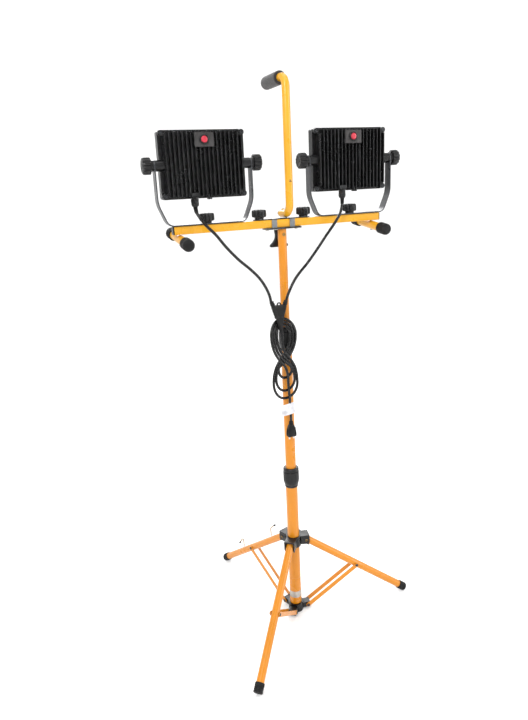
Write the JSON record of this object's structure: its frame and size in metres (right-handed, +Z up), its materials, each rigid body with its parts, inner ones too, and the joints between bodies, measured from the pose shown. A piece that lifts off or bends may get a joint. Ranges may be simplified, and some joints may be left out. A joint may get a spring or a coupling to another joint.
{
  "type": "work light",
  "caption": "Twin-head LED work light: finned heads tilt and pan in yokes on a crossbar with a carrying handle, on a telescoping mast with a folding tripod and a hanging mains cord.",
  "frame": {"origin": "on the ground under the mast's axis", "axes": "+Z up along the mast, +X along the crossbar, +Y the way the lit fronts of the heads face"},
  "size_m": [0.7055, 0.6246, 1.5395],
  "materials": {
    "yellow_paint": "gloss powder coat",
    "black_plastic": "fine moulded texture",
    "black_rubber": "matt",
    "grip_foam": "matt foam",
    "bracket_steel": "satin",
    "hook_wire": "satin",
    "yoke_steel": "satin",
    "black_casting": "satin powder coat",
    "lens_glass": "clear",
    "led_board": "satin",
    "red_button": "gloss",
    "cord_rubber": "satin"
  },
  "bodies": {
    "mast_base": {"lower_mast_tube": "yellow_paint", "brace_hub": "black_plastic"},
    "leg_hub": {"leg_hub": "black_plastic"},
    "hub_knob": {"hub_lock_knob": "black_plastic"},
    "leg_1": {"leg_tube_1": "yellow_paint", "leg_foot_1": "black_rubber"},
    "leg_2": {"leg_tube_2": "yellow_paint", "leg_foot_2": "black_rubber"},
    "leg_3": {"leg_tube_3": "yellow_paint", "leg_foot_3": "black_rubber", "cord_hook_1": "hook_wire", "cord_hook_2": "hook_wire"},
    "brace_1": {"brace_1": "yellow_paint"},
    "brace_2": {"brace_2": "yellow_paint"},
    "brace_3": {"brace_3": "yellow_paint"},
    "lower_collar": {"lower_twist_collar": "black_plastic"},
    "middle_mast": {"middle_mast_tube": "yellow_paint"},
    "upper_collar": {"upper_twist_collar": "black_plastic"},
    "top_mast": {"top_mast_tube": "yellow_paint", "mast_bracket": "bracket_steel", "crossbar": "yellow_paint", "stand_tube_left": "yellow_paint", "stand_tube_right": "yellow_paint", "stand_cap_left_front": "black_rubber", "stand_cap_left_rear": "black_rubber", "stand_cap_right_front": "black_rubber", "stand_cap_right_rear": "black_rubber", "handle_tube": "yellow_paint", "handle_grip": "grip_foam", "lead_left_lower": "cord_rubber", "lead_right_lower": "cord_rubber", "cord_splitter": "cord_rubber", "cord_bundle": "cord_rubber", "main_lead": "cord_rubber", "mains_plug": "cord_rubber"},
    "clamp_handle": {"clamp_handle": "black_plastic"},
    "bar_knob_left": {"bar_knob_left": "black_plastic"},
    "bar_knob_right": {"bar_knob_right": "black_plastic"},
    "yoke_left": {"yoke_left": "yoke_steel", "lead_left_upper": "cord_rubber"},
    "yoke_knob_left": {"yoke_knob_left": "black_plastic"},
    "head_left": {"housing_left": "black_casting", "bezel_left": "black_casting", "lens_left": "lens_glass", "led_board_left": "led_board", "gland_left": "black_plastic"},
    "button_left": {"button_left": "red_button"},
    "tilt_knob_left_outer": {"tilt_knob_left_outer": "black_plastic"},
    "tilt_knob_left_inner": {"tilt_knob_left_inner": "black_plastic"},
    "yoke_right": {"yoke_right": "yoke_steel", "lead_right_upper": "cord_rubber"},
    "yoke_knob_right": {"yoke_knob_right": "black_plastic"},
    "head_right": {"housing_right": "black_casting", "bezel_right": "black_casting", "lens_right": "lens_glass", "led_board_right": "led_board", "gland_right": "black_plastic"},
    "button_right": {"button_right": "red_button"},
    "tilt_knob_right_outer": {"tilt_knob_right_outer": "black_plastic"},
    "tilt_knob_right_inner": {"tilt_knob_right_inner": "black_plastic"}
  },
  "joints": [
    {"name": "hub_slide", "type": "slide", "parent": "mast_base", "child": "leg_hub", "axis": [0, 0, 1], "range_m": [0, 0.15]},
    {"name": "hub_knob_turn", "type": "hinge", "parent": "leg_hub", "child": "hub_knob", "pos_m": [0.01978, 0.02256, 0.244], "axis": [0.6593, 0.7518, 0], "range_deg": [-180, 0]},
    {"name": "leg_1_hinge", "type": "hinge", "parent": "leg_hub", "child": "leg_1", "pos_m": [-0.02413, -0.02752, 0.2425], "axis": [0.7518, -0.6593, 0], "range_deg": [-0.2, 40.6]},
    {"name": "brace_1_hinge", "type": "hinge", "parent": "mast_base", "child": "brace_1", "pos_m": [-0.02413, -0.02752, 0.014], "axis": [0.7518, -0.6593, 0], "range_deg": [-40.6, 0.2]},
    {"name": "leg_2_hinge", "type": "hinge", "parent": "leg_hub", "child": "leg_2", "pos_m": [0.0359, -0.00714, 0.2425], "axis": [0.1951, 0.9808, 0], "range_deg": [-0.2, 40.6]},
    {"name": "brace_2_hinge", "type": "hinge", "parent": "mast_base", "child": "brace_2", "pos_m": [0.0359, -0.00714, 0.014], "axis": [0.1951, 0.9808, 0], "range_deg": [-40.6, 0.2]},
    {"name": "leg_3_hinge", "type": "hinge", "parent": "leg_hub", "child": "leg_3", "pos_m": [-0.01176, 0.03466, 0.2425], "axis": [-0.9469, -0.3214, 0], "range_deg": [-0.2, 40.6]},
    {"name": "brace_3_hinge", "type": "hinge", "parent": "mast_base", "child": "brace_3", "pos_m": [-0.01176, 0.03466, 0.014], "axis": [-0.9469, -0.3214, 0], "range_deg": [-40.6, 0.2]},
    {"name": "lower_collar_twist", "type": "hinge", "parent": "mast_base", "child": "lower_collar", "pos_m": [0, 0, 0.45], "axis": [0, 0, 1], "range_deg": [-60, 0]},
    {"name": "middle_mast_slide", "type": "slide", "parent": "mast_base", "child": "middle_mast", "axis": [0, 0, 1], "range_m": [-0.3, 0]},
    {"name": "upper_collar_twist", "type": "hinge", "parent": "middle_mast", "child": "upper_collar", "pos_m": [0, 0, 0.87], "axis": [0, 0, 1], "range_deg": [-60, 0]},
    {"name": "top_mast_slide", "type": "slide", "parent": "middle_mast", "child": "top_mast", "axis": [0, 0, 1], "range_m": [-0.2, 0], "deforming": ["cord_bundle", "main_lead", "mains_plug"]},
    {"name": "clamp_handle_turn", "type": "hinge", "parent": "top_mast", "child": "clamp_handle", "pos_m": [0, 0.02, 1.138], "axis": [0, 1, 0], "range_deg": [-180, 0]},
    {"name": "bar_knob_left_turn", "type": "hinge", "parent": "top_mast", "child": "bar_knob_left", "pos_m": [-0.062, 0, 1.2], "axis": [0, 0, 1], "range_deg": [0, 180]},
    {"name": "bar_knob_right_turn", "type": "hinge", "parent": "top_mast", "child": "bar_knob_right", "pos_m": [0.062, 0, 1.2], "axis": [0, 0, 1], "range_deg": [0, 180]},
    {"name": "yoke_left_pan", "type": "hinge", "parent": "top_mast", "child": "yoke_left", "pos_m": [-0.2, 0, 1.19], "axis": [0, 0, 1], "range_deg": [-60, 60]},
    {"name": "yoke_knob_left_turn", "type": "hinge", "parent": "yoke_left", "child": "yoke_knob_left", "pos_m": [-0.2, 0, 1.2], "axis": [0, 0, 1], "range_deg": [0, 180]},
    {"name": "head_left_tilt", "type": "hinge", "parent": "yoke_left", "child": "head_left", "pos_m": [-0.2, 0, 1.3266], "axis": [1, 0, 0], "range_deg": [-45, 45]},
    {"name": "button_left_push", "type": "slide", "parent": "head_left", "child": "button_left", "axis": [0, 1, 0], "range_m": [0, 0.003], "stiffness_N_per_m": 600},
    {"name": "tilt_knob_left_outer_turn", "type": "hinge", "parent": "head_left", "child": "tilt_knob_left_outer", "pos_m": [-0.34, 0, 1.3266], "axis": [-1, 0, 0], "range_deg": [0, 180]},
    {"name": "tilt_knob_left_inner_turn", "type": "hinge", "parent": "head_left", "child": "tilt_knob_left_inner", "pos_m": [-0.06, 0, 1.3266], "axis": [1, 0, 0], "range_deg": [0, 180]},
    {"name": "yoke_right_pan", "type": "hinge", "parent": "top_mast", "child": "yoke_right", "pos_m": [0.2, 0, 1.19], "axis": [0, 0, 1], "range_deg": [-60, 60]},
    {"name": "yoke_knob_right_turn", "type": "hinge", "parent": "yoke_right", "child": "yoke_knob_right", "pos_m": [0.2, 0, 1.2], "axis": [0, 0, 1], "range_deg": [0, 180]},
    {"name": "head_right_tilt", "type": "hinge", "parent": "yoke_right", "child": "head_right", "pos_m": [0.2, 0, 1.3266], "axis": [1, 0, 0], "range_deg": [-45, 45]},
    {"name": "button_right_push", "type": "slide", "parent": "head_right", "child": "button_right", "axis": [0, 1, 0], "range_m": [0, 0.003], "stiffness_N_per_m": 600},
    {"name": "tilt_knob_right_outer_turn", "type": "hinge", "parent": "head_right", "child": "tilt_knob_right_outer", "pos_m": [0.34, 0, 1.3266], "axis": [1, 0, 0], "range_deg": [0, 180]},
    {"name": "tilt_knob_right_inner_turn", "type": "hinge", "parent": "head_right", "child": "tilt_knob_right_inner", "pos_m": [0.06, 0, 1.3266], "axis": [-1, 0, 0], "range_deg": [0, 180]}
  ],
  "couplings": [
    {"joint": "leg_1_hinge", "follows": "hub_slide", "rad_per_m": 4.7101},
    {"joint": "brace_1_hinge", "follows": "hub_slide", "rad_per_m": -4.7101},
    {"joint": "leg_2_hinge", "follows": "hub_slide", "rad_per_m": 4.7101},
    {"joint": "brace_2_hinge", "follows": "hub_slide", "rad_per_m": -4.7101},
    {"joint": "leg_3_hinge", "follows": "hub_slide", "rad_per_m": 4.7101},
    {"joint": "brace_3_hinge", "follows": "hub_slide", "rad_per_m": -4.7101}
  ]
}
